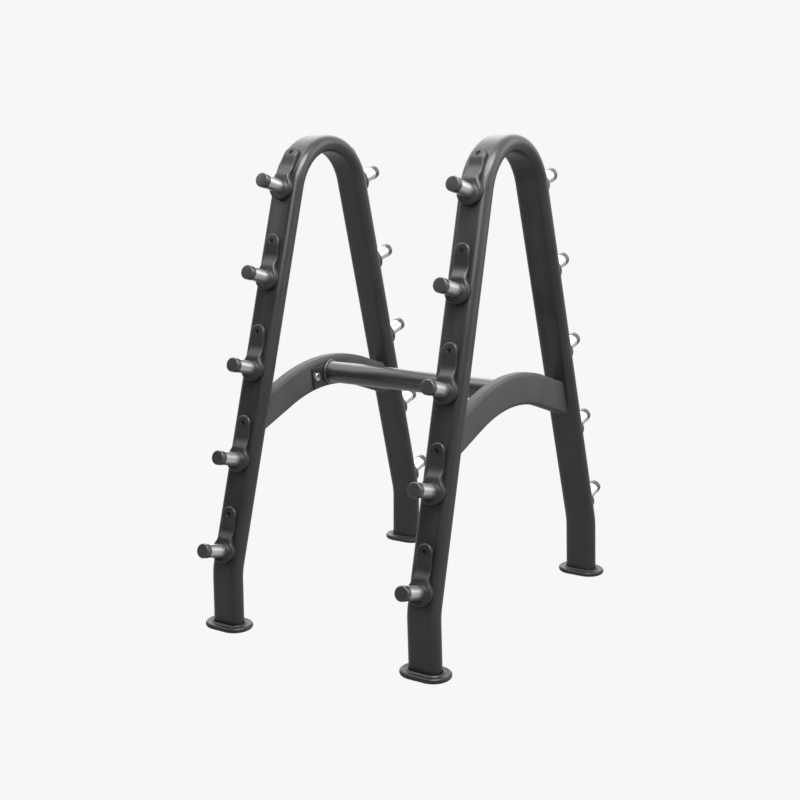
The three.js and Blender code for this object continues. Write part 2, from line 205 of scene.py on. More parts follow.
def break_edges(piece, width, segments, sharper_than):
    """Rounds the edges of a piece that are sharper than an angle."""
    angle = math.radians(sharper_than)
    apply_modifier(
        piece, "BEVEL", width=width, segments=segments, limit_method="ANGLE", angle_limit=angle
    )


def remove(piece):
    """Deletes a cutter, or a pattern once its copies are made."""
    bpy.data.objects.remove(piece, do_unlink=True)


def cut_with_active(piece, operation="DIFFERENCE"):
    """Cuts a piece with the object that was made last, and throws that object away."""
    cutter = bpy.context.object
    apply_modifier(piece, "BOOLEAN", operation=operation, object=cutter, solver="EXACT")
    remove(cutter)


# %% [markdown]
# A finished pattern is copied with its mesh, and each copy is told what it stands for: the body
# that it rides on, the finish it gets and the CAD nodes that it takes the place of.

# %% Copy and keep
pieces = {}


def settle(piece, name, smooth_angle=35):
    """Puts a piece's place into its mesh, names it and shades it smooth up to an angle."""
    pick(piece)
    bpy.ops.object.transform_apply(location=True, rotation=True, scale=True)
    bpy.ops.object.shade_smooth_by_angle(angle=math.radians(smooth_angle))
    piece.name = name
    piece.data.name = name
    return piece


def copy_to(piece, name, place):
    """Copies a finished piece, with its own mesh, to a place."""
    copy = piece.copy()
    copy.data = piece.data.copy()
    copy.data.transform(place)
    copy.name = name
    copy.data.name = name
    bpy.context.collection.objects.link(copy)
    return copy


def keep(piece, slot, *nodes):
    """Says what a finished piece is to the frame: its body, its finish and what it stands for."""
    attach(piece, "root")
    if nodes:
        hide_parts(*nodes)
    pieces.setdefault(slot, []).append(piece)


def measure(piece):
    """Prints the size of a piece in metres and the number of its faces."""
    size = [round(v, 4) for v in piece.dimensions]
    print(piece.name, size, len(piece.data.polygons), "faces")


# %% [markdown]
# ## Bent tubes
#
# A real bent tube starts as straight stock. Here its section is a plane with rounded corners: on
# the legs they are rounded until the two short sides become half circles. The section is then
# pushed along each straight with extrude and swung round each bend with spin, so straights stay
# straight and bends are true arcs. A curve with a bevel would do it too, but it spreads its steps
# evenly and pinches the bend.
#
# With no window, spin turns against its axis, so every axis in this file points the other way.


# %% Section
def start_section(across, along, corner, corner_steps, place, rotation):
    """An outline with round corners, across by along, ready to be pushed along a route."""
    deselect_all()
    bpy.ops.mesh.primitive_plane_add(size=1, location=place, rotation=rotation)
    bpy.context.object.scale = (across, along, 1)
    bpy.ops.object.transform_apply(location=False, rotation=False, scale=True)
    bpy.ops.object.mode_set(mode="EDIT")
    bpy.ops.mesh.select_all(action="SELECT")
    bpy.ops.mesh.bevel(offset=corner, affect="VERTICES", segments=corner_steps, clamp_overlap=True)
    bpy.ops.mesh.select_all(action="SELECT")
    bpy.ops.mesh.remove_doubles(threshold=touching)
    bpy.ops.mesh.delete(type="ONLY_FACE")
    bpy.ops.object.mode_set(mode="OBJECT")
    return start_edit("EDGE")


# %% Straights, bends and walls
def push(heading, length):
    """Extrudes the selected end of a tube. The heading is measured from +Z towards +Y."""
    extrude(0, length * math.sin(heading), length * math.cos(heading))


def swing(centre_y, centre_z, angle, steps):
    """Spins the selected end of a tube about an axis along X. Plus turns +Z towards +Y."""
    bpy.ops.mesh.spin(
        steps=steps, angle=angle, center=(0, centre_y, centre_z), axis=(1, 0, 0), dupli=False
    )


def give_wall(piece, wall):
    """Turns the skin of a tube outwards and gives it its wall, inwards."""
    bpy.ops.object.mode_set(mode="EDIT")
    fix_normals()
    bpy.ops.object.mode_set(mode="OBJECT")
    apply_modifier(piece, "SOLIDIFY", thickness=wall, offset=-1, use_even_offset=True)


# %% [markdown]
# ## Frame tubes
#
# Each frame is one piece of flat oval tube, 100 mm across the rack and 50 mm deep. It runs from a
# foot up through the knee and the splayed leg, over the top bend, and down the other side.

# %% Bend the frame tube
leg_straight = leg_length - knee_setback
shank_straight = tube_end_drop - knee_corner_drop - knee_setback
knee_z = -knee_corner_drop - knee_setback

frame_tube = start_section(
    tube_breadth, tube_depth, tube_depth / 2, 10, (0, -leg_foot_y, -tube_end_drop), (0, 0, 0)
)
push(0, shank_straight)
swing(-leg_foot_y + knee_radius, knee_z, leg_splay, 10)
push(leg_splay, leg_straight)
swing(0, 0, math.pi - 2 * leg_splay, 40)
push(math.pi - leg_splay, leg_straight)
swing(leg_foot_y - knee_radius, knee_z, leg_splay, 10)
push(math.pi, shank_straight)
give_wall(frame_tube, tube_wall)
measure(settle(frame_tube, "frame_tube"))

for side, place in frame_places.items():
    keep(copy_to(frame_tube, f"tube_{side}", place), "frame", f"{side}_frame_tube")
remove(frame_tube)

# %% [markdown]
# ## Arches
#
# The arch is lighter tube standing on its edge, bent at the crown and straight to both ends. Its
# corners are rounded less than a leg's, and less than the solid's, because the photograph shows
# them so. Its ends are sawn to the slope of the legs, which bisect does: it cuts the mesh with a
# plane and throws away what is past it. The tube already has its wall, so every cut leaves two
# rims, and bridge_edge_loops joins them into the sawn face.

# %% Sizes of the arch
arch_height, arch_breadth, arch_corner, arch_wall = 0.096, 0.040, 0.012, 0.0025
arch_radius, arch_tilt, arch_drop = 0.590, math.radians(19.4), 0.541
arch_bend_half = arch_radius * math.sin(arch_tilt)
arch_bend_rise = arch_radius * (1 - math.cos(arch_tilt))
arch_end_length = (leg_foot_y - arch_bend_half) / math.cos(arch_tilt)
arch_start_z = -arch_drop - arch_bend_rise - arch_end_length * math.sin(arch_tilt)


def leg_face(toward):
    """A point on the inner face of a leg, and the direction out of the frame there."""
    outward = Vector((0, toward * math.cos(leg_splay), math.sin(leg_splay)))
    return Vector((0, toward * bend_end_y, bend_end_z)) - outward * (tube_depth / 2), outward


print("Arch's bend spans", round(2 * arch_bend_half, 4), "m")

# %% Bend and trim the arch
arch = start_section(
    arch_breadth,
    arch_height,
    arch_corner,
    8,
    (0, -leg_foot_y, arch_start_z),
    (arch_tilt - math.pi / 2, 0, 0),
)
push(math.pi / 2 - arch_tilt, arch_end_length)
swing(0, -arch_drop - arch_radius, 2 * arch_tilt, 28)
push(math.pi / 2 + arch_tilt, arch_end_length)
give_wall(arch, arch_wall)
bpy.ops.object.mode_set(mode="EDIT")
for toward in (-1, 1):
    on_leg, outward = leg_face(toward)
    bpy.ops.mesh.select_all(action="SELECT")
    bpy.ops.mesh.bisect(plane_co=on_leg, plane_no=outward, clear_outer=True)
    bpy.ops.mesh.bridge_edge_loops()
fix_normals()
bpy.ops.object.mode_set(mode="OBJECT")
measure(settle(arch, "arch"))

# %% [markdown]
# ## Weld beads
#
# The arch is welded to the legs all round. A bead is made from the edge it runs along: the arch's
# sawn outline is copied, made a curve, given a round thickness and made a mesh again.


# %% Lay a bead along an outline
def bead_along(piece, test, name, radius):
    """A weld bead along the edges of a piece that a test finds."""
    pick(piece)
    bpy.ops.object.duplicate()
    bpy.ops.object.mode_set(mode="EDIT")
    select_where(test, "EDGE")
    bpy.ops.mesh.select_all(action="INVERT")
    bpy.ops.mesh.delete(type="EDGE")
    bpy.ops.object.mode_set(mode="OBJECT")
    bpy.ops.object.convert(target="CURVE")
    bead = bpy.context.object
    bead.data.bevel_depth = radius
    bead.data.bevel_resolution = 3
    bpy.ops.object.convert(target="MESH")
    return settle(bpy.context.object, name, 60)


# %% Find the arch's outer rim at a leg
arch_bead, cut_play, rim_play = 0.0020, 0.0001, 0.001


def arch_centre_at(toward):
    """Where the arch's centre line meets the face of a leg."""
    on_leg, outward = leg_face(toward)
    start = Vector((0, toward * arch_bend_half, -arch_drop - arch_bend_rise))
    heading = Vector((0, toward * math.cos(arch_tilt), -math.sin(arch_tilt)))
    return start + heading * ((on_leg - start).dot(outward) / heading.dot(outward))


def on_sawn_edge(toward):
    """A test for the outer rim of the arch's end at one leg."""
    on_leg, outward = leg_face(toward)
    centre = arch_centre_at(toward)
    upright = Vector((0, toward * math.sin(arch_tilt), math.cos(arch_tilt)))

    def test(co):
        aside = max(0, abs(co.x) - arch_breadth / 2 + arch_corner)
        past = max(0, abs((co - centre).dot(upright)) - arch_height / 2 + arch_corner)
        on_cut = abs((co - on_leg).dot(outward)) < cut_play
        return on_cut and math.hypot(aside, past) > arch_corner - rim_play

    return test


# %% Weld the arches to the legs
joint_beads = {}
for toward in (-1, 1):
    bead = bead_along(arch, on_sawn_edge(toward), f"bead_{toward}", arch_bead)
    joint_beads[toward] = bead
    measure(bead)
for side, place in frame_places.items():
    keep(copy_to(arch, f"arch_{side}", place), "frame", f"{side}_arch")
    for toward, bead in joint_beads.items():
        keep(copy_to(bead, f"arch_weld_{side}_{leg_at(side, toward)}", place), "frame")
for piece in (arch, *joint_beads.values()):
    remove(piece)

# %% [markdown]
# ## Cross tube
#
# One round tube ties the two arches together. It lies level and is welded to a plate at each end.
# The bead round the tube's end is a torus with the ripples of the weld pressed into it, a sine
# along the ring, which is quicker than laying single drops.

# %% Sizes of the cross tube and its plates
cross_radius, cross_wall, cross_bead = 0.033, 0.003, 0.007
plate_length, plate_top, plate_bottom = 0.176, 0.030, 0.039
plate_thickness, plate_corner = 0.006, 0.004
bolt_spacing, bolt_radius = 0.144, 0.008
bolt_drop = arch_drop + arch_radius - math.sqrt(arch_radius**2 - (bolt_spacing / 2) ** 2)
plate_inner_x = -arch_breadth / 2 - seat_gap - plate_thickness
cross_half = (
    frame_spacing / 2
    + plate_inner_x * math.cos(frame_lean)
    - (-arch_drop + cross_radius + cross_bead) * math.sin(frame_lean)
)
cross_height = (
    bend_centre_height - arch_drop * math.cos(frame_lean) + plate_inner_x * math.sin(frame_lean)
)
along_x = (0, math.pi / 2, 0)
print("Cross tube runs", round(cross_height, 4), "m above the floor")

# %% Cross tube
cross = start_ring(cross_radius, (-cross_half, 0, cross_height), along_x)
extrude(2 * cross_half, 0, 0)
give_wall(cross, cross_wall)
keep(settle(cross, "tie_tube"), "frame", "cross_tube")
measure(cross)

# %% Weld beads of the cross tube
bead_inset_share, bead_proud_share, bead_radius_share = 0.3, 0.1, 0.65
ripple_depth, ripples = 0.0004, 36
for side, toward in (("right", 1), ("left", -1)):
    deselect_all()
    bpy.ops.mesh.primitive_torus_add(
        location=(toward * (cross_half - cross_bead * bead_inset_share), 0, cross_height),
        rotation=along_x,
        major_radius=cross_radius + cross_bead * bead_proud_share,
        minor_radius=cross_bead * bead_radius_share,
        major_segments=144,
        minor_segments=14,
    )
    bead = bpy.context.object
    bpy.ops.object.transform_apply(location=True, rotation=True, scale=True)
    for vertex in bead.data.vertices:
        angle = math.atan2(vertex.co.z - cross_height, vertex.co.y)
        vertex.co.x -= toward * ripple_depth * math.sin(ripples * angle)
    keep(settle(bead, f"tie_weld_{side}", 60), "frame")
    measure(bead)

# %% [markdown]
# ## End plates
#
# A plate is bolted to the arch and cut to its curve. A plane is pressed to one upright edge, and
# the edge is spun both ways about the centre of the arch's bend. Bevel rounds the four corners of
# that sheet. It then gets its thickness, its two bolt holes and its broken rims. The holes come
# before the rims, so that their own edges are broken too.

# %% Spin the plate and round its corners
plate_turn = math.asin(plate_length / 2 / arch_radius)
arch_centre_z = -arch_drop - arch_radius
corner_play = 1e-4
deselect_all()
bpy.ops.mesh.primitive_plane_add(
    size=1,
    location=(plate_inner_x, 0, -arch_drop + (plate_top - plate_bottom) / 2),
    rotation=(math.pi / 2, 0, 0),
)
bpy.context.object.scale = (0, plate_top + plate_bottom, 1)
plate = start_edit("EDGE")
bpy.ops.mesh.remove_doubles(threshold=touching)
bpy.ops.mesh.select_all(action="SELECT")
swing(0, arch_centre_z, plate_turn, 12)
select_where(lambda co: abs(co.y) < touching)
swing(0, arch_centre_z, -plate_turn, 12)
fix_normals()
select_where(lambda co: abs(math.atan2(co.y, co.z - arch_centre_z)) > plate_turn - corner_play)
bpy.ops.mesh.bevel(offset=plate_corner, affect="VERTICES", segments=6)
bpy.ops.object.mode_set(mode="OBJECT")
print("Plate's sheet has", len(plate.data.polygons), "faces")

# %% Thicken, drill and finish the plate
plate_edge = 0.0009
apply_modifier(plate, "SOLIDIFY", thickness=plate_thickness, offset=0)
for vertex in plate.data.vertices:
    vertex.co.x += plate_thickness / 2
for toward in (-1, 1):
    deselect_all()
    bpy.ops.mesh.primitive_cylinder_add(
        vertices=48,
        radius=bolt_radius + seat_gap,
        depth=3 * plate_thickness,
        location=(plate_inner_x, toward * bolt_spacing / 2, -bolt_drop),
        rotation=along_x,
    )
    cut_with_active(plate)
break_edges(plate, plate_edge, 3, 50)
measure(settle(plate, "end_plate"))
for side, place in frame_places.items():
    keep(copy_to(plate, f"plate_{side}", place), "frame", f"{side}_end_plate")
remove(plate)

# %% [markdown]
# ## Bolts
#
# Two hex bolts hold each plate. A machined head is a hex prism whose corners are turned off at 30
# degrees, so the head here is where a hex prism and a turned blank overlap. The weld nuts inside
# the arch stay the plain CAD nodes, because nobody sees them.

# %% Head of a bolt
head_flats, head_height, head_edge = 0.024, 0.008, 0.0004
blank_share, blank_face_share, blank_seat_share = 1.15, 0.84, 1.3
deselect_all()
bpy.ops.mesh.primitive_cylinder_add(
    vertices=6,
    radius=head_flats / 2 / math.cos(math.pi / 6),
    depth=head_height,
    location=(-head_height / 2, 0, 0),
    rotation=along_x,
)
bolt = bpy.context.object
bpy.ops.mesh.primitive_cylinder_add(
    vertices=64,
    radius=head_flats / 2 * blank_share,
    depth=head_height,
    location=(-head_height / 2, 0, 0),
    rotation=along_x,
)
blank = bpy.context.object
bpy.ops.object.transform_apply(location=True, rotation=True, scale=True)
bpy.ops.object.mode_set(mode="EDIT")
select_where(lambda co: co.x < -head_height + touching)
bpy.ops.transform.resize(value=(1, blank_face_share, blank_face_share))
bpy.ops.object.mode_set(mode="OBJECT")
for vertex in blank.data.vertices:
    if vertex.co.x > -touching:
        vertex.co.y *= blank_seat_share
        vertex.co.z *= blank_seat_share
cut_with_active(bolt, "INTERSECT")
break_edges(bolt, head_edge, 2, 25)

# %% Shank of a bolt
nut_height, thread_past, shank_edge = 0.013, 0.003, 0.001
shank_length = plate_thickness + arch_wall + 2 * seat_gap + nut_height + thread_past
deselect_all()
bpy.ops.mesh.primitive_cylinder_add(
    vertices=32,
    radius=bolt_radius,
    depth=shank_length,
    location=(shank_length / 2, 0, 0),
    rotation=along_x,
)
shank = bpy.context.object
break_edges(shank, shank_edge, 2, 50)
deselect_all()
shank.select_set(True)
bolt.select_set(True)
bpy.context.view_layer.objects.active = bolt
bpy.ops.object.join()
measure(settle(bolt, "bolt", 30))
for side, place in frame_places.items():
    for toward in (-1, 1):
        leg = leg_at(side, toward)
        seat = Matrix.Translation((plate_inner_x - seat_gap, toward * bolt_spacing / 2, -bolt_drop))
        keep(copy_to(bolt, f"bolt_{side}_{leg}_head", place @ seat), "zinc", f"{side}_{leg}_bolt")
remove(bolt)

# %% [markdown]
# ## Guards
#
# A moulded guard keeps the bar off the paint behind each peg: a pad with a screw at the top, a neck
# hollowed by a scoop, and a thick boss round the peg. Its wall is rounded at the front and at the
# back, so light runs along it and a dark line parts it from the tube. It could be sculpted, but the
# mould was drawn as an outline with a rounded wall, so the same is done here. One corner is swung
# round the boss, the flare and the pad, and mirrored. The filled outline is extruded once for each
# ring of the wall, and each ring is then drawn in and raised to its place.

# %% Sizes of the guard
screw_rise, pad_radius, boss_radius, flare_radius = 0.108, 0.024, 0.038, 0.030
pad_thick, boss_thick, neck_thick, scoop_drop = 0.0145, 0.019, 0.007, 0.016
front_round, back_round, ridge_blend = 0.0060, 0.0045, 0.0060
peg_radius, peg_reach, peg_wall = 0.020, 0.1045, 0.0025
first_peg_drop, peg_pitch, pegs_per_leg = 0.012, 0.271, 5

flare_top = math.sqrt((boss_radius + flare_radius) ** 2 - (pad_radius + flare_radius) ** 2)
flare_foot = flare_top * boss_radius / (boss_radius + flare_radius)
flare_angle = math.atan2(flare_top, pad_radius + flare_radius)
scoop_top = screw_rise - scoop_drop
pad_step, boss_step = math.sqrt(pad_thick - neck_thick), math.sqrt(boss_thick - neck_thick)
scoop_middle = scoop_top - (scoop_top - boss_radius) * pad_step / (pad_step + boss_step)
print("The scoop is deepest", round(scoop_middle, 4), "m above the peg")


# %% Shape of the guard
def guard_height(up):
    """Thickness of the guard at a height above its peg: a parabola under a face, softly joined."""
    climb = (up - scoop_middle) / (boss_radius - scoop_middle)
    scoop = neck_thick + (boss_thick - neck_thick) * climb**2
    face = pad_thick if up > scoop_middle else boss_thick
    near = max(0, ridge_blend - abs(scoop - face))
    return min(scoop, face) - near**2 / (4 * ridge_blend)


def tube_fall(x):
    """How far the rounded side of the tube has fallen away at a distance from its middle."""
    past = max(0, abs(x) - (tube_breadth - tube_depth) / 2)
    radius = tube_depth / 2
    return radius - math.sqrt(radius**2 - past**2)


def inward(x, up):
    """The direction from a point of the outline straight into the guard."""
    if up > screw_rise:
        way = Vector((-x, screw_rise - up))
    elif up > flare_top:
        way = Vector((-x, 0))
    elif up > flare_foot:
        way = Vector((x - math.copysign(pad_radius + flare_radius, x), up - flare_top))
    else:
        way = Vector((-x, -up))
    return way.normalized()


print("The guard is", round(guard_height(scoop_middle), 4), "m thick at its neck")

# %% Draw the outline and extrude it ring by ring
back_turns = [math.radians(a) for a in (0, 30, 60, 90)]
front_turns = [math.radians(a) for a in (0, 18, 36, 54, 72, 90)]
ring_count = len(back_turns) + len(front_turns)
rim_support, ring_step = 0.0007, 0.001

guard = start_corner((0, -boss_radius, 0))
against_z = (0, 0, -1)
bpy.ops.mesh.spin(steps=30, angle=math.pi / 2 + flare_angle, center=(0, 0, 0), axis=against_z)
bpy.ops.mesh.spin(
    steps=8, angle=-flare_angle, center=(pad_radius + flare_radius, flare_top, 0), axis=against_z
)
extrude(0, screw_rise - flare_top, 0)
bpy.ops.mesh.spin(steps=18, angle=math.pi / 2, center=(0, screw_rise, 0), axis=against_z)
bpy.ops.object.mode_set(mode="OBJECT")
apply_modifier(guard, "MIRROR", use_axis=(True, False, False), merge_threshold=touching)
bpy.ops.object.mode_set(mode="EDIT")
bpy.ops.mesh.select_all(action="SELECT")
bpy.ops.mesh.remove_doubles(threshold=touching)
bpy.ops.mesh.select_all(action="SELECT")
bpy.ops.mesh.edge_face_add()
for _ in range(ring_count):
    extrude(0, 0, ring_step)
fix_normals()
print("Guard outline", [round(v, 4) for v in guard.dimensions])

# %% Cut it across, so that its face can be scooped and wrapped
wrap_pitch, wrap_cuts = 0.0065, 19
pad_ridge_pitch, boss_ridge_pitch, ridge_cuts = 0.0013, 0.0012, range(-4, 5)
stations = {first_peg_drop + wrap_pitch * k for k in range(wrap_cuts)}
stations |= {scoop_top + pad_ridge_pitch * k for k in ridge_cuts}
stations |= {boss_radius + boss_ridge_pitch * k for k in ridge_cuts}
for up in sorted(stations):
    bpy.ops.mesh.select_all(action="SELECT")
    bpy.ops.mesh.bisect(plane_co=(0, up, 0), plane_no=(0, 1, 0))
bpy.ops.object.mode_set(mode="OBJECT")
print("Guard cut at", len(stations), "stations")

# %% Draw in and raise the rings
back_share, front_share = 0.35, 0.5
for vertex in guard.data.vertices:
    ring = round(vertex.co.z / ring_step)
    x, up = vertex.co.x, vertex.co.y
    thick = guard_height(up)
    back, front = min(back_round, back_share * thick), min(front_round, front_share * thick)
    if ring < len(back_turns):
        turn = back_turns[ring]
        inset, rise = back * (1 - math.sin(turn)), back * (1 - math.cos(turn))
    elif ring < ring_count:
        turn = front_turns[ring - len(back_turns)]
        inset, rise = front * (1 - math.cos(turn)), thick - front * (1 - math.sin(turn))
    else:
        inset, rise = front + rim_support, thick
    x, up = Vector((x, up)) + inset * inward(x, up)
    if ring < len(back_turns):
        rise += seat_gap - tube_fall(x)
    elif ring == ring_count:
        rise = guard_height(up)
    vertex.co = (x, up, rise)
print("Guard has", len(guard.data.vertices), "corners")

# %% Bend the back to the rounded side of the tube
back_cuts, back_play = (-0.031, -0.027, 0.027, 0.031), 0.001
bpy.ops.object.mode_set(mode="EDIT")
for x in back_cuts:
    select_where(lambda centre, normal: normal.z < -0.9 and centre.z < back_play, "FACE")
    bpy.ops.mesh.bisect(plane_co=(x, 0, 0), plane_no=(1, 0, 0))
bpy.ops.object.mode_set(mode="OBJECT")
for vertex in guard.data.vertices:
    if vertex.co.z < seat_gap + touching:
        vertex.co.z = min(vertex.co.z, seat_gap - tube_fall(vertex.co.x))
back_dip = -min(vertex.co.z for vertex in guard.data.vertices)
print("Guard's back follows the tube for", round(back_dip, 4), "m behind its seat")

# %% Dish the boss, and drill for the peg and the screw
dish_radius, dish_flare, dish_depth = 0.0260, 0.0135, 0.0030
pocket_radius, pocket_flare, pocket_depth = 0.0078, 0.0030, 0.0055
drill_length = 0.08
for place, radius, flare, depth, sides in (
    ((0, 0, boss_thick), dish_radius, dish_flare, 2 * dish_depth, 96),
    ((0, 0, 0), peg_radius + seat_gap, 0, drill_length, 72),
    ((0, screw_rise, pad_thick), pocket_radius, pocket_flare, 2 * pocket_depth, 48),
):
    deselect_all()
    bpy.ops.mesh.primitive_cone_add(
        vertices=sides, radius1=radius - flare, radius2=radius + flare, depth=depth, location=place
    )
    cut_with_active(guard)
pick(guard)
bpy.ops.object.mode_set(mode="EDIT")
fix_normals()
bpy.ops.object.mode_set(mode="OBJECT")
bpy.ops.object.shade_smooth_by_angle(angle=math.radians(19))
guard.name = "guard"
measure(guard)

# %% [markdown]
# ## Setting the guards on the legs
#
# On a leg's own seat, up the leg is +Z and out of the leg is -Y. The guard was drawn lying down,
# so it is tipped up by a quarter turn. The top guard reaches past the end of the straight leg and
# follows the top bend, so what is above the bend's end is wrapped round the bend's centre.


# %% Places of the pegs
def seat_on_leg(side, leg, index):
    """The seat of a peg: its matrix takes a piece drawn at the origin to its place on the leg."""
    drop = first_peg_drop + index * peg_pitch
    across = -bend_end_y - drop * math.sin(leg_splay)
    centre = Vector((0, across, bend_end_z - drop * math.cos(leg_splay)))
    outward = Vector((0, -math.cos(leg_splay), math.sin(leg_splay)))
    place = Matrix.Translation(centre + outward * (tube_depth / 2))
    return frame_places[side] @ leg_turn(side, leg) @ place @ Matrix.Rotation(-leg_splay, 4, "X")


lowest = seat_on_leg("right", "front", pegs_per_leg - 1).translation
print("The lowest pegs are", round(lowest.z, 4), "m above the floor")

# %% Tip up the guard and wrap the top one
outer_face_radius = top_bend_radius + tube_depth / 2
bend_seat_gap, bend_ease = 0.0005, 0.01
tip_up = Matrix.Rotation(math.pi / 2, 4, "X")
guard.data.transform(tip_up)
top_guard = copy_to(guard, "top_guard", Matrix.Identity(4))
for vertex in top_guard.data.vertices:
    past = vertex.co.z - first_peg_drop
    if past > 0:
        angle = past / outer_face_radius
        reach = outer_face_radius - vertex.co.y + bend_seat_gap * min(1, past / bend_ease)
        vertex.co.y = outer_face_radius - reach * math.cos(angle)
        vertex.co.z = first_peg_drop + reach * math.sin(angle)
print("The top guard is wrapped over", round(screw_rise + pad_radius - first_peg_drop, 4), "m")

# %% [markdown]
# ## Screws
#
# A small black socket screw lies in each pad. On the real one only a low button with a hex socket
# shows, so a disc gets a rounded rim and a hex prism is cut out of it. The top screw is turned
# round the bend's centre like the pad that it lies in.

# %% Screw
screw_radius, screw_head, screw_round = 0.0050, 0.0026, 0.0011
socket_radius, socket_length = 0.0026, 0.004
deselect_all()
bpy.ops.mesh.primitive_cylinder_add(
    vertices=48, radius=screw_radius, depth=screw_head, location=(0, 0, screw_head / 2)
)
screw = start_edit("EDGE")
select_where(lambda co: co.z > screw_head - touching, "EDGE")
bpy.ops.mesh.bevel(offset=screw_round, affect="EDGES", segments=4)
deselect_all()
bpy.ops.mesh.primitive_cylinder_add(
    vertices=6, radius=socket_radius, depth=socket_length, location=(0, 0, screw_head)
)
cut_with_active(screw)
measure(settle(screw, "screw", 30))

# %% Set the screws in their pads
screw.data.transform(tip_up @ Matrix.Translation((0, screw_rise, pad_thick - pocket_depth)))
top_screw = copy_to(screw, "top_screw", Matrix.Identity(4))
screw_turn = (screw_rise - first_peg_drop) / outer_face_radius
top_screw.data.transform(
    Matrix.Translation((0, outer_face_radius, first_peg_drop))
    @ Matrix.Rotation(-screw_turn, 4, "X")
    @ Matrix.Translation((0, -outer_face_radius - bend_seat_gap, -screw_rise))
)
print("The top screw is turned by", round(math.degrees(screw_turn), 1), "degrees")

# %% [markdown]
# ## Pegs and caps
#
# A peg is plated tube, turned so that fine rings run round it. The peg lies at a slant in the
# finished rack, so every corner keeps its distance along the peg in an attribute, and the plating
# draws its rings by that. The cap on its end is rubber, with a rounded end and a skirt that grips
# the tube. It is drawn as a lathe would turn it, ring by ring, and its bore is pushed in last.

# %% Peg
cap_radius, cap_length, cap_edge = 0.0213, 0.020, 0.004
cap_lip, cap_play = 0.0006, 0.0001
peg_tube_reach = peg_reach - cap_length / 2
peg = start_ring(peg_radius, (0, 0, seat_gap))
extrude(0, 0, peg_tube_reach - seat_gap)
give_wall(peg, peg_wall)
measure(settle(peg, "peg"))
along = peg.data.attributes.new("along", "FLOAT", "POINT")
for vertex in peg.data.vertices:
    along.data[vertex.index].value = vertex.co.z
peg.data.transform(tip_up)


# %% Cap
def lathe(rise, radius_from, radius_to):
    """Extrudes the selected ring by a rise and brings it to a new radius."""
    ratio = radius_to / radius_from
    extrude(0, 0, rise)
    bpy.ops.transform.resize(value=(ratio, ratio, 1))


cap_bore, cap_foot = peg_radius + cap_play, peg_reach - cap_length
cap = start_ring(cap_bore, (0, 0, cap_foot))
lathe(0, cap_bore, cap_radius - cap_lip)
lathe(cap_lip, cap_radius - cap_lip, cap_radius)
lathe(cap_length - cap_lip - cap_edge, cap_radius, cap_radius)
arc_steps = 6
for k in range(arc_steps):
    a0, a1 = (math.pi / 2 * j / arc_steps for j in (k, k + 1))
    lathe(
        cap_edge * (math.sin(a1) - math.sin(a0)),
        cap_radius - cap_edge * (1 - math.cos(a0)),
        cap_radius - cap_edge * (1 - math.cos(a1)),
    )
bpy.ops.mesh.edge_face_add()
select_where(lambda co: co.z < cap_foot + touching and co.xy.length < cap_bore + cap_play, "EDGE")
extrude(0, 0, cap_length / 2 + 2 * cap_play)
bpy.ops.mesh.edge_face_add()
fix_normals()
bpy.ops.object.mode_set(mode="OBJECT")
measure(settle(cap, "cap", 40))
cap.data.transform(tip_up)

# %% Put a guard, a screw, a peg and a cap on every seat
for side in ("right", "left"):
    for leg in ("front", "rear"):
        for index in range(pegs_per_leg):
            seat = seat_on_leg(side, leg, index)
            end = f"{side}_{leg}_{index + 1}"
            guard_node = f"{side}_{leg}_guard_{index + 1}"
            peg_node = f"{side}_{leg}_peg_{index + 1}"
            its_guard, its_screw = (guard, screw) if index else (top_guard, top_screw)
            keep(copy_to(its_guard, f"guard_{end}", seat), "moulding", guard_node)
            keep(copy_to(its_screw, f"screw_{end}", seat), "frame")
            keep(copy_to(peg, f"peg_{end}", seat), "chrome", peg_node)
            keep(copy_to(cap, f"cap_{end}", seat), "cap", peg_node)
for piece in (guard, top_guard, screw, top_screw, peg, cap):
    remove(piece)
print("Fittings", len(pieces["moulding"]), "guards,", len(pieces["chrome"]), "pegs")

# %% [markdown]
# ## Feet
#
# Each leg stands in a rubber cup. Its flange is a fat roll, with a groove between it and the
# slimmer collar that hugs the tube, and it follows the tube's flat oval. Its section is drawn once,
# from a single corner, with extrude for the straights and spin for the rounds. The section is then
# swept round the oval, half a turn and a straight at a time, and the floor and the pocket are
# closed with a face.

# %% Sizes of the foot
foot_play, foot_flat = 0.0012, (tube_breadth - tube_depth) / 2
collar_radius, collar_rise = 0.0032, 0.0162
roll_radius, roll_out, roll_rise = 0.0078, 0.0182, 0.0093
groove_out, groove_rise = 0.0108, 0.0158
groove_run, groove_dip = 0.0012, 0.0002
sole_out, sole_run, sole_rise = 0.0125, 0.002, 0.0004
section_at = [foot_play, foot_floor]


def draw_to(out, rise):
    """Draws a straight of the section to a distance out of the tube and a height."""
    extrude(0, -(out - section_at[0]), rise - section_at[1])
    section_at[:] = out, rise


def draw_round(out, rise, radius, end_angle, turn, steps):
    """Draws an arc of the section about a centre. It ends at an angle above the outward way."""
    swing(-tube_depth / 2 - out, rise, -math.radians(turn), steps)
    end_angle = math.radians(end_angle)
    section_at[:] = out + radius * math.cos(end_angle), rise + radius * math.sin(end_angle)


print("The flange stands", round(roll_out + roll_radius, 4), "m out of the tube")

# %% Draw the section
foot = start_corner((foot_flat, -tube_depth / 2 - foot_play, foot_floor))
draw_to(foot_play, collar_rise)
draw_round(foot_play + collar_radius, collar_rise, collar_radius, 40, 140, 10)
draw_to(groove_out - groove_run, groove_rise + groove_dip)
draw_to(groove_out, groove_rise)
draw_to(roll_out - roll_radius / 2, roll_rise + roll_radius * math.sqrt(0.75))
draw_round(roll_out, roll_rise, roll_radius, -90, 210, 16)
draw_to(sole_out + sole_run, sole_rise)
draw_to(sole_out, 0)
print("The section ends", section_at[0], "m out of the tube")

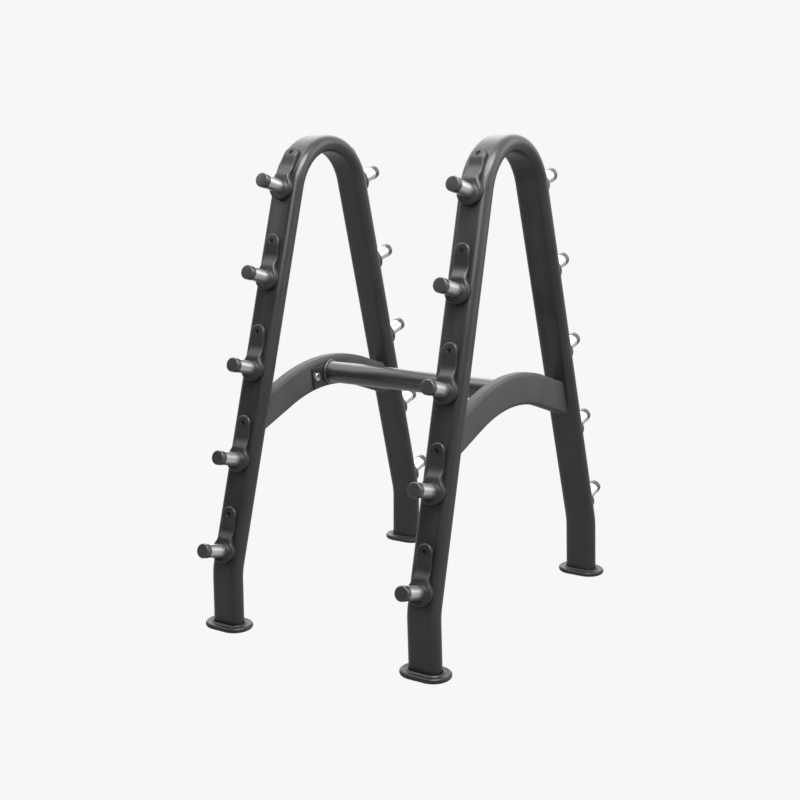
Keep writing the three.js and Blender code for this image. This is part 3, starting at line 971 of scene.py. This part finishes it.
# %% Sweep it round the tube
bpy.ops.mesh.select_all(action="SELECT")
for toward in (1, -1):
    bpy.ops.mesh.spin(
        steps=28, angle=math.pi, center=(toward * foot_flat, 0, 0), axis=against_z
    )
    extrude(-toward * 2 * foot_flat, 0, 0)
bpy.ops.mesh.select_all(action="SELECT")
bpy.ops.mesh.remove_doubles(threshold=1e-6)
for rise in (0, foot_floor):
    select_where(lambda co: abs(co.z - rise) < 1e-6, "EDGE")
    bpy.ops.mesh.edge_face_add()
fix_normals()
bpy.ops.object.mode_set(mode="OBJECT")
measure(settle(foot, "foot", 50))
for side, sign in (("right", 1), ("left", -1)):
    for leg, toward in (("front", -1), ("rear", 1)):
        place = Matrix.Translation((sign * foot_x, toward * leg_foot_y, 0))
        keep(copy_to(foot, f"foot_{side}_{leg}", place), "rubber", f"{side}_{leg}_foot")
remove(foot)

# %% [markdown]
# ## A skin with grain, clouds and streaks
#
# Powder coat, moulding and rubber are all dark skins that differ in how fine their grain is and how
# unevenly they shine. So one node group makes the skin, and each finish gives it other numbers. It
# is made from the piece's own coordinates, so it stays on the piece from any side. Fine noise is
# the grain. Coarse noise clouds the tone and the roughness, and on coated tube it is mixed with
# noise that is squeezed along X, which gives faint streaks along the legs and the arches. A picture
# of paint could do this too, but it would need unwrapping and would blur close up.


# %% Make a group
def new_group(name, inputs, outputs):
    """A shader node group with named sockets, and its two end nodes."""
    group = bpy.data.node_groups.new(name, "ShaderNodeTree")
    for title, kind, value in inputs:
        socket = group.interface.new_socket(title, in_out="INPUT", socket_type=kind)
        socket.default_value = value
    for title, kind in outputs:
        group.interface.new_socket(title, in_out="OUTPUT", socket_type=kind)
    return group, group.nodes.new("NodeGroupInput"), group.nodes.new("NodeGroupOutput")


def add_node(tree, kind, **values):
    """Adds a node and sets some of its plain inputs. A word with _ is a name of two words."""
    node = tree.nodes.new(kind)
    for title, value in values.items():
        node.inputs[title.replace("_", " ")].default_value = value
    return node


def wire(tree, *pairs):
    """Links output sockets to input sockets."""
    for source, target in pairs:
        tree.links.new(source, target)


# %% Sockets and nodes of the skin
skin_group, skin_in, skin_out = new_group(
    "moulded or coated skin",
    [
        ("Place", "NodeSocketVector", (0, 0, 0)),
        ("Grain Size", "NodeSocketFloat", 1500.0),
        ("Grain Depth", "NodeSocketFloat", 0.1),
        ("Streaks", "NodeSocketFloat", 0.0),
        ("Tone Low", "NodeSocketFloat", 0.9),
        ("Tone High", "NodeSocketFloat", 1.1),
        ("Rough Low", "NodeSocketFloat", 0.4),
        ("Rough High", "NodeSocketFloat", 0.5),
        ("Base", "NodeSocketColor", (0.5, 0.5, 0.5, 1)),
    ],
    [
        ("Colour", "NodeSocketColor"),
        ("Roughness", "NodeSocketFloat"),
        ("Normal", "NodeSocketVector"),
    ],
)
grain = add_node(skin_group, "ShaderNodeTexNoise", Detail=3)
cloud = add_node(skin_group, "ShaderNodeTexNoise", Scale=9, Detail=5)
stretch = add_node(skin_group, "ShaderNodeVectorMath")
stretch.operation = "MULTIPLY"
stretch.inputs[1].default_value = (70, 2.2, 2.2)
streak = add_node(skin_group, "ShaderNodeTexNoise", Scale=1, Detail=2)
blend = add_node(skin_group, "ShaderNodeMix")
tone = add_node(skin_group, "ShaderNodeMapRange", From_Min=0.3, From_Max=0.7)
rough = add_node(skin_group, "ShaderNodeMapRange", From_Min=0.3, From_Max=0.7)
tint = add_node(skin_group, "ShaderNodeVectorMath")
tint.operation = "SCALE"
bump = add_node(skin_group, "ShaderNodeBump", Distance=0.0002)
print("Skin group has", len(skin_group.nodes), "nodes")

# %% Wires of the skin
wire(
    skin_group,
    (skin_in.outputs["Place"], grain.inputs["Vector"]),
    (skin_in.outputs["Grain Size"], grain.inputs["Scale"]),
    (skin_in.outputs["Place"], cloud.inputs["Vector"]),
    (skin_in.outputs["Place"], stretch.inputs[0]),
    (stretch.outputs["Vector"], streak.inputs["Vector"]),
    (skin_in.outputs["Streaks"], blend.inputs["Factor"]),
    (cloud.outputs["Fac"], blend.inputs["A"]),
    (streak.outputs["Fac"], blend.inputs["B"]),
    (blend.outputs["Result"], tone.inputs["Value"]),
    (blend.outputs["Result"], rough.inputs["Value"]),
    (skin_in.outputs["Tone Low"], tone.inputs["To Min"]),
    (skin_in.outputs["Tone High"], tone.inputs["To Max"]),
    (skin_in.outputs["Rough Low"], rough.inputs["To Min"]),
    (skin_in.outputs["Rough High"], rough.inputs["To Max"]),
    (skin_in.outputs["Base"], tint.inputs[0]),
    (tone.outputs["Result"], tint.inputs["Scale"]),
    (tint.outputs["Vector"], skin_out.inputs["Colour"]),
    (rough.outputs["Result"], skin_out.inputs["Roughness"]),
    (grain.outputs["Fac"], bump.inputs["Height"]),
    (skin_in.outputs["Grain Depth"], bump.inputs["Strength"]),
    (bump.outputs["Normal"], skin_out.inputs["Normal"]),
)
print("Skin group has", len(skin_group.links), "wires")

# %% [markdown]
# ## Turned rings
#
# The turning tool leaves rings on the pegs, no two alike. Noise in one dimension, read at the
# distance along the peg, gives that: each value runs right round the peg. A wave would repeat.

# %% Group: turned rings
ring_group, ring_in, ring_out = new_group(
    "turned rings",
    [
        ("Along", "NodeSocketFloat", 0.0),
        ("Pitch", "NodeSocketFloat", 0.001),
        ("Depth", "NodeSocketFloat", 0.2),
        ("Rough Low", "NodeSocketFloat", 0.3),
        ("Rough High", "NodeSocketFloat", 0.4),
    ],
    [("Roughness", "NodeSocketFloat"), ("Normal", "NodeSocketVector")],
)
count = add_node(ring_group, "ShaderNodeMath")
count.operation = "DIVIDE"
lines = add_node(ring_group, "ShaderNodeTexNoise", Scale=1, Detail=4)
lines.noise_dimensions = "1D"
shine = add_node(ring_group, "ShaderNodeMapRange", From_Min=0.3, From_Max=0.7)
ridges = add_node(ring_group, "ShaderNodeBump", Distance=0.0003)
wire(
    ring_group,
    (ring_in.outputs["Along"], count.inputs[0]),
    (ring_in.outputs["Pitch"], count.inputs[1]),
    (count.outputs["Value"], lines.inputs["W"]),
    (lines.outputs["Fac"], shine.inputs["Value"]),
    (ring_in.outputs["Rough Low"], shine.inputs["To Min"]),
    (ring_in.outputs["Rough High"], shine.inputs["To Max"]),
    (shine.outputs["Result"], ring_out.inputs["Roughness"]),
    (lines.outputs["Fac"], ridges.inputs["Height"]),
    (ring_in.outputs["Depth"], ridges.inputs["Strength"]),
    (ridges.outputs["Normal"], ring_out.inputs["Normal"]),
)
print("Ring group has", len(ring_group.links), "wires")

# %% [markdown]
# ## Finishes
#
# The legs are powder coated in a dark graphite with a thin clear layer, so they shine softly over
# a rougher ground. The arches have the same coat, duller, and its colour is painted lighter there:
# painted light that stands in for the light on their faces. The cross tube has a glossy coat.
# Guards are smooth moulding, feet and caps are rubber, the caps with a coarse grain. Pegs and bolts
# are plated, and the screws are blackened. Plain numbers, such as how much of a clear layer there
# is, are set on the shader itself, and what changes over the surface comes from a group.


# %% Coated and moulded finishes
def start_finish(name):
    """A new material, its node tree and its shader."""
    material = bpy.data.materials.new(name)
    material.use_nodes = True
    return material, material.node_tree, material.node_tree.nodes["Principled BSDF"]


def new_finish(name, base, grain, streaks, tones, roughs, **plain):
    """A finish with the skin group. What is in plain is set on the shader's own sockets."""
    material, tree, shader = start_finish(name)
    place = tree.nodes.new("ShaderNodeTexCoord")
    skin = tree.nodes.new("ShaderNodeGroup")
    skin.node_tree = skin_group
    skin.inputs["Base"].default_value = (*base, 1)
    skin.inputs["Grain Size"].default_value, skin.inputs["Grain Depth"].default_value = grain
    skin.inputs["Streaks"].default_value = streaks
    skin.inputs["Tone Low"].default_value, skin.inputs["Tone High"].default_value = tones
    skin.inputs["Rough Low"].default_value, skin.inputs["Rough High"].default_value = roughs
    wire(
        tree,
        (place.outputs["Object"], skin.inputs["Place"]),
        (skin.outputs["Colour"], shader.inputs["Base Color"]),
        (skin.outputs["Roughness"], shader.inputs["Roughness"]),
        (skin.outputs["Normal"], shader.inputs["Normal"]),
    )
    for title, value in plain.items():
        shader.inputs[title.replace("_", " ")].default_value = value
    return material


# %% Plating
def new_plating(name, colour, pitch, depth, roughs):
    """Bright plating over fine turned rings, which follow the attribute called along."""
    material, tree, shader = start_finish(name)
    shader.inputs["Metallic"].default_value = 1
    shader.inputs["Base Color"].default_value = (*colour, 1)
    along = tree.nodes.new("ShaderNodeAttribute")
    along.attribute_name = "along"
    rings = tree.nodes.new("ShaderNodeGroup")
    rings.node_tree = ring_group
    rings.inputs["Pitch"].default_value = pitch
    rings.inputs["Depth"].default_value = depth
    rings.inputs["Rough Low"].default_value, rings.inputs["Rough High"].default_value = roughs
    wire(
        tree,
        (along.outputs["Fac"], rings.inputs["Along"]),
        (rings.outputs["Roughness"], shader.inputs["Roughness"]),
        (rings.outputs["Normal"], shader.inputs["Normal"]),
    )
    return material


# %% The finishes of this rack
finishes = {
    "frame": new_finish(
        "graphite powder coat", base=(0.020, 0.020, 0.0205), grain=(900, 0.12), streaks=0.5,
        tones=(0.5, 1.5), roughs=(0.36, 0.54), Coat_Weight=0.45, Coat_Roughness=0.14,
    ),
    # The arches and their weld beads get a base colour four times the legs'. This is painted light
    # for the light on their side faces, and the paint is the same as on the legs.
    "arch": new_finish(
        "graphite powder coat painted lighter", base=(0.084, 0.084, 0.0845), grain=(900, 0.12), streaks=0.4,
        tones=(0.8, 1.2), roughs=(0.46, 0.58), Specular_IOR_Level=0.3,
    ),
    "tie": new_finish(
        "glossy graphite coat", base=(0.018, 0.018, 0.0185), grain=(900, 0.05), streaks=0.6,
        tones=(0.8, 1.2), roughs=(0.36, 0.44), Coat_Weight=1.0, Coat_Roughness=0.26, Coat_IOR=1.7,
    ),
    "screw": new_finish(
        "black oxide", base=(0.006, 0.006, 0.006), grain=(1500, 0.05), streaks=0,
        tones=(0.9, 1.1), roughs=(0.5, 0.6),
    ),
    "moulding": new_finish(
        "black moulding", base=(0.022, 0.022, 0.0225), grain=(2200, 0.15), streaks=0,
        tones=(0.8, 1.2), roughs=(0.34, 0.46), Coat_Weight=0.2, Coat_Roughness=0.25,
    ),
    "rubber": new_finish(
        "black rubber", base=(0.026, 0.026, 0.026), grain=(1500, 0.2), streaks=0,
        tones=(0.9, 1.1), roughs=(0.30, 0.42),
    ),
    "cap": new_finish(
        "grained rubber cap", base=(0.032, 0.032, 0.032), grain=(700, 0.7), streaks=0,
        tones=(0.85, 1.15), roughs=(0.32, 0.45), Coat_Weight=0.8, Coat_Roughness=0.25, Coat_IOR=1.6,
    ),
    "chrome": new_plating(
        "turned bright plating", (0.86, 0.86, 0.85), pitch=0.0016, depth=0.05, roughs=(0.28, 0.40)
    ),
    "zinc": new_finish(
        "bright zinc plating", base=(0.85, 0.86, 0.85), grain=(700, 0.05), streaks=0,
        tones=(0.95, 1.05), roughs=(0.25, 0.35), Metallic=1.0,
    ),
}
print("Finishes:", ", ".join(material.name for material in finishes.values()))

# %% [markdown]
# The first word of a piece's name picks its finish where there is one of that name, as for the
# arches and the cross tube. Otherwise its slot does. The CAD nodes get a finish too. Most of them
# are replaced, but the weld nuts stay, and they are zinc.

# %% Give every piece its finish
for slot, made in pieces.items():
    for piece in made:
        kind = piece.name.split("_")[0]
        piece.data.materials.clear()
        piece.data.materials.append(finishes.get(kind, finishes[slot]))
    print(slot, len(made), "pieces")
for name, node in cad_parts.items():
    slot = "zinc" if "weld_nut" in name else "frame"
    for place in node.material_slots:
        place.material = finishes[slot]

# %% [markdown]
# ## Floor and room
#
# The photograph is a product picture that was cut out on plain white. So floor and backdrop look
# evenly white to the camera, and a Light Path node gives everything else the light of the real
# studio: a floor that glows less than white, and a dim room whose backdrop is lit behind the rack
# and to its right. A picture of a studio could light it too, but these few glows can be set one
# by one.


# %% Floor
def seen_or_lit(tree, seen, lit):
    """Mixes two shaders: the first is what the camera sees, the second is what lights the rack."""
    path = tree.nodes.new("ShaderNodeLightPath")
    mix = tree.nodes.new("ShaderNodeMixShader")
    wire(
        tree,
        (path.outputs["Is Camera Ray"], mix.inputs["Fac"]),
        (lit.outputs[0], mix.inputs[1]),
        (seen.outputs[0], mix.inputs[2]),
    )
    return mix.outputs[0]


paper_white, floor_reach, floor_glow, floor_gap = 0.93, 60, 0.43, 0.0005

deselect_all()
bpy.ops.mesh.primitive_plane_add(size=floor_reach, location=(0, 0, -floor_gap))
floor = bpy.context.object
floor.name = "floor"
floor_paint = bpy.data.materials.new("white floor")
floor_paint.use_nodes = True
tree = floor_paint.node_tree
tree.nodes.remove(tree.nodes["Principled BSDF"])
seen = add_node(tree, "ShaderNodeEmission", Color=(paper_white, paper_white, paper_white, 1))
lit = add_node(tree, "ShaderNodeEmission", Strength=floor_glow)
wire(tree, (seen_or_lit(tree, seen, lit), tree.nodes["Material Output"].inputs["Surface"]))
floor.data.materials.append(floor_paint)
print("Floor is", floor_reach, "m wide and glows at", floor_glow)


# %% Backdrop and room
def way_to(turn, height_angle):
    """The direction at a turn from +X towards +Y and an angle above level, both in degrees."""
    turn, height_angle = math.radians(turn), math.radians(height_angle)
    flat = math.cos(height_angle)
    return flat * math.cos(turn), flat * math.sin(turn), math.sin(height_angle)


room_glow, glow_narrowness = 0.15, 4
backdrop_glows = ((122, 6, 0.85), (32, 6, 1.50), (128, 40, 1.75))

world = bpy.data.worlds.new("white studio")
bpy.context.scene.world = world
world.use_nodes = True
tree = world.node_tree
lit = tree.nodes["Background"]
lit.inputs["Color"].default_value = (1, 1, 1, 1)
seen = add_node(tree, "ShaderNodeBackground", Color=(paper_white, paper_white, paper_white, 1))
way = tree.nodes.new("ShaderNodeTexCoord")
total = None
for turn, height_angle, glow in backdrop_glows:
    towards = tree.nodes.new("ShaderNodeVectorMath")
    towards.operation = "DOT_PRODUCT"
    towards.inputs[1].default_value = way_to(turn, height_angle)
    facing, spread, add = (tree.nodes.new("ShaderNodeMath") for _ in range(3))
    facing.operation, spread.operation, add.operation = "MAXIMUM", "POWER", "MULTIPLY_ADD"
    facing.inputs[1].default_value = 0
    spread.inputs[1].default_value = glow_narrowness
    add.inputs[1].default_value = glow
    add.inputs[2].default_value = room_glow
    wire(
        tree,
        (way.outputs["Generated"], towards.inputs[0]),
        (towards.outputs["Value"], facing.inputs[0]),
        (facing.outputs[0], spread.inputs[0]),
        (spread.outputs[0], add.inputs[0]),
    )
    if total:
        wire(tree, (total, add.inputs[2]))
    total = add.outputs[0]
wire(
    tree,
    (total, lit.inputs["Strength"]),
    (seen_or_lit(tree, seen, lit), tree.nodes["World Output"].inputs["Surface"]),
)
print("Backdrop has", len(backdrop_glows), "glows over a room at", room_glow)

# %% [markdown]
# ## Softboxes
#
# High softboxes draw the bright tops of the bends and pegs, and lower ones in front and at the left
# draw the light down the faces of the legs. Each is a rectangle that faces the middle of the rack.
# Its place is given as it is seen from there: how far round from +X, how high, and how far off. Its
# brightness is that of its face, so a box can be made larger without being made dimmer.


# %% Softboxes
def add_softbox(name, turn, height_angle, reach, size, brightness):
    """A soft lamp that faces the middle of the rack, as bright as its face is to look at."""
    middle = Vector((0, 0, 0.75))
    place = middle + Vector([reach * step for step in way_to(turn, height_angle)])
    deselect_all()
    bpy.ops.object.light_add(type="AREA", location=place)
    lamp = bpy.context.object
    lamp.name = name
    lamp.data.shape = "RECTANGLE"
    lamp.data.size, lamp.data.size_y = size
    lamp.data.energy = brightness * math.pi * size[0] * size[1]
    lamp.rotation_euler = (middle - place).to_track_quat("-Z", "Y").to_euler()


softboxes = (
    ("high front softbox", -50, 64, 2.3, (1.15, 1.15), 8.8),
    ("high left softbox", -147, 66, 3.0, (1.5, 1.5), 2.8),
    ("front softbox", -57, 38, 3.4, (1.7, 1.7), 3.4),
    ("left softbox", -147, 38, 3.4, (1.7, 1.7), 1.3),
    ("high right softbox", -14, 55, 3.2, (1.0, 1.0), 11.0),
    ("back softbox", 130, 45, 3.4, (2.0, 1.5), 0.4),
    ("back right softbox", 44, 34, 3.2, (1.4, 1.4), 1.3),
)
for values in softboxes:
    add_softbox(*values)
print("Lit by", len(softboxes), "softboxes")

# %% [markdown]
# ## Camera
#
# The camera stands in front of the rack at the right, a little above it, and looks slightly down.
# Its place, turn and roll were solved from places on the rack that can be measured in the
# photograph. The shift moves the picture in its frame without turning the camera. The turn and the
# height are in degrees here, the roll in radians.

# %% Camera
eye = Vector((2.1251, -3.2836, 1.4804))
azimuth, elevation, roll = 32.43, 11.69, -0.011811
forward = Vector(way_to(azimuth + 90, -elevation))
level_right = Vector(way_to(azimuth, 0))
level_up = level_right.cross(forward)
right = math.cos(roll) * level_right + math.sin(roll) * level_up
up = -math.sin(roll) * level_right + math.cos(roll) * level_up
bpy.ops.object.camera_add()
camera = bpy.context.object
camera.matrix_world = Matrix.Translation(eye) @ Matrix((right, up, -forward)).transposed().to_4x4()
camera.data.sensor_width = 36
camera.data.lens = 59.02
camera.data.shift_x, camera.data.shift_y = -0.0282, -0.0141
bpy.context.scene.camera = camera
bpy.context.scene.view_settings.view_transform = "Standard"
print("Camera stands", round(eye.length, 3), "m from the middle of the floor")
